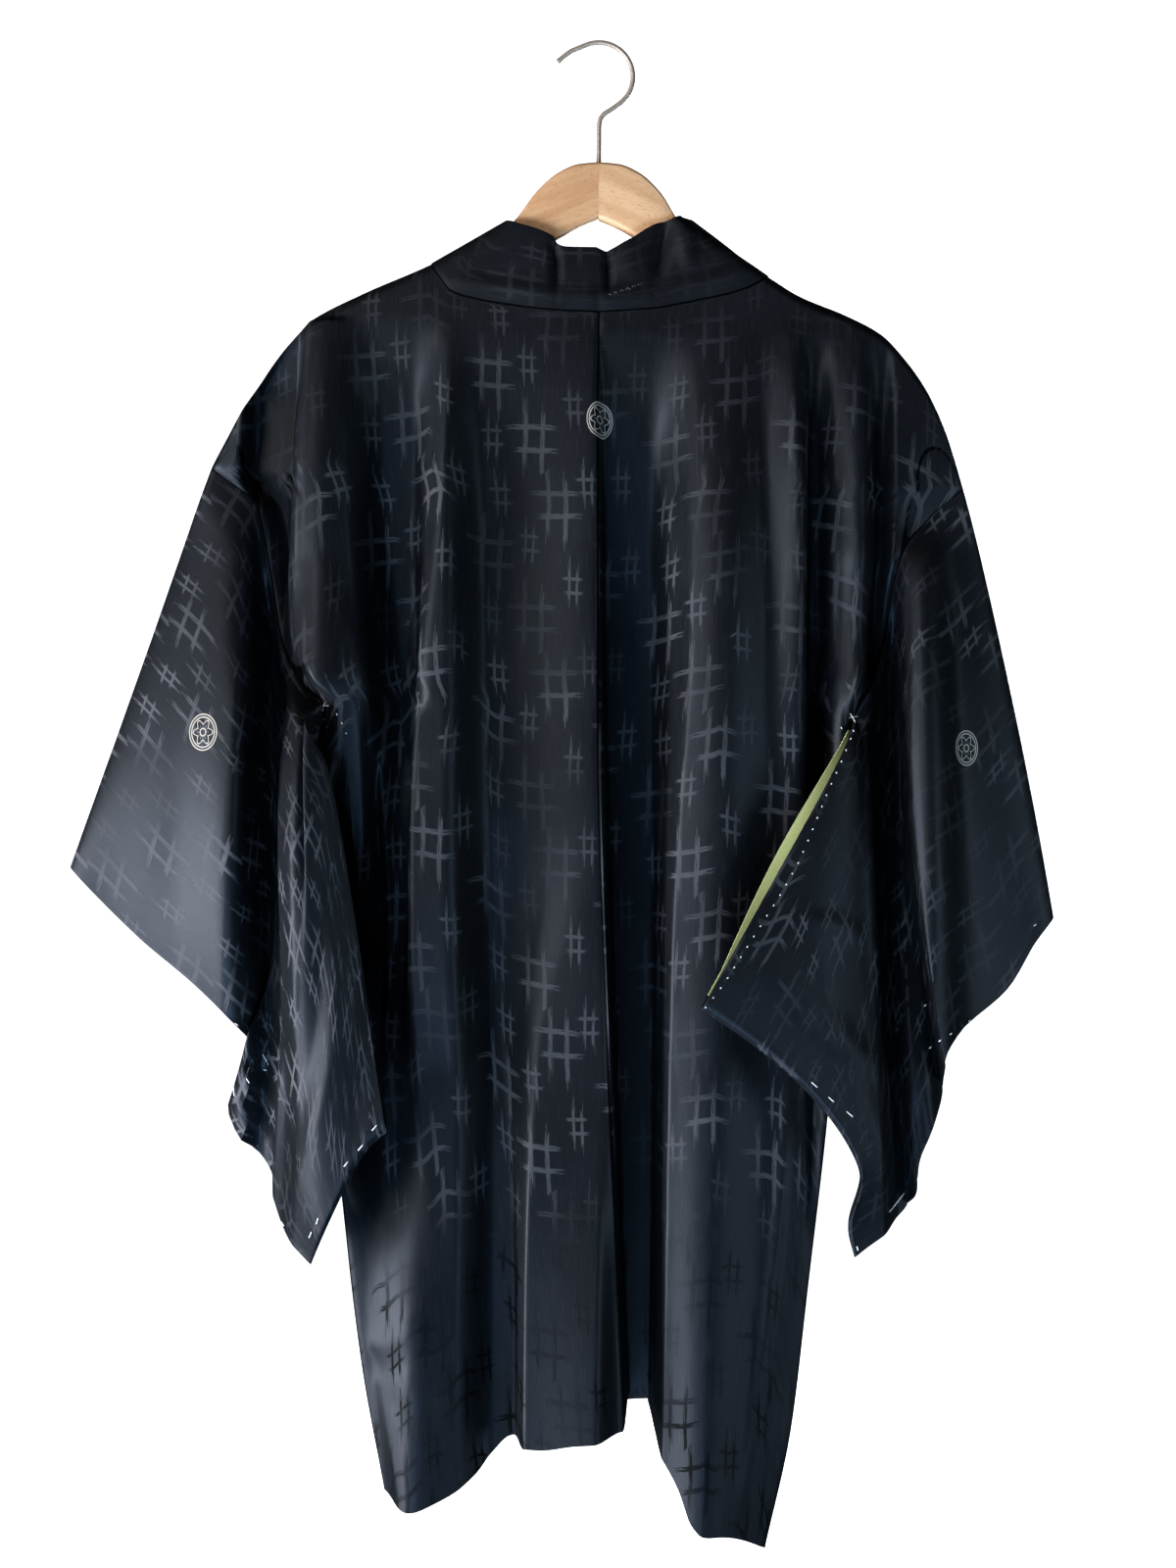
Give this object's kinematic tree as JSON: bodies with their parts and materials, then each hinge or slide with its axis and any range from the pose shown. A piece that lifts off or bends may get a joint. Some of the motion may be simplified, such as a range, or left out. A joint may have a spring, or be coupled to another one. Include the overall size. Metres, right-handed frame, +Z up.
{
  "type": "haori jacket on a wooden hanger",
  "caption": "Hip-length open-fronted kimono jacket with hanging rectangular sleeves and a long collar band, draped on a wooden hanger with a wire hook.",
  "frame": {"origin": "inside top of the hanger's hook, where a rail touches it", "axes": "+Z up; -Y is the side that the garment's back faces; +X is the right side as seen from behind"},
  "size_m": [0.7239, 0.165, 1.0949],
  "materials": {
    "silk": "soft damask sheen",
    "lining": "satin",
    "beech": "clear lacquer",
    "steel": "polished"
  },
  "bodies": {
    "root": {"body_left": "silk", "body_right": "silk", "machi_left": "silk", "machi_right": "silk", "sleeve_left": "silk", "sleeve_right": "silk", "sleeve_lining_right": "lining", "collar": "silk", "hanger_left": "beech", "hanger_right": "beech", "hanger_hook": "steel"}
  },
  "joints": []
}
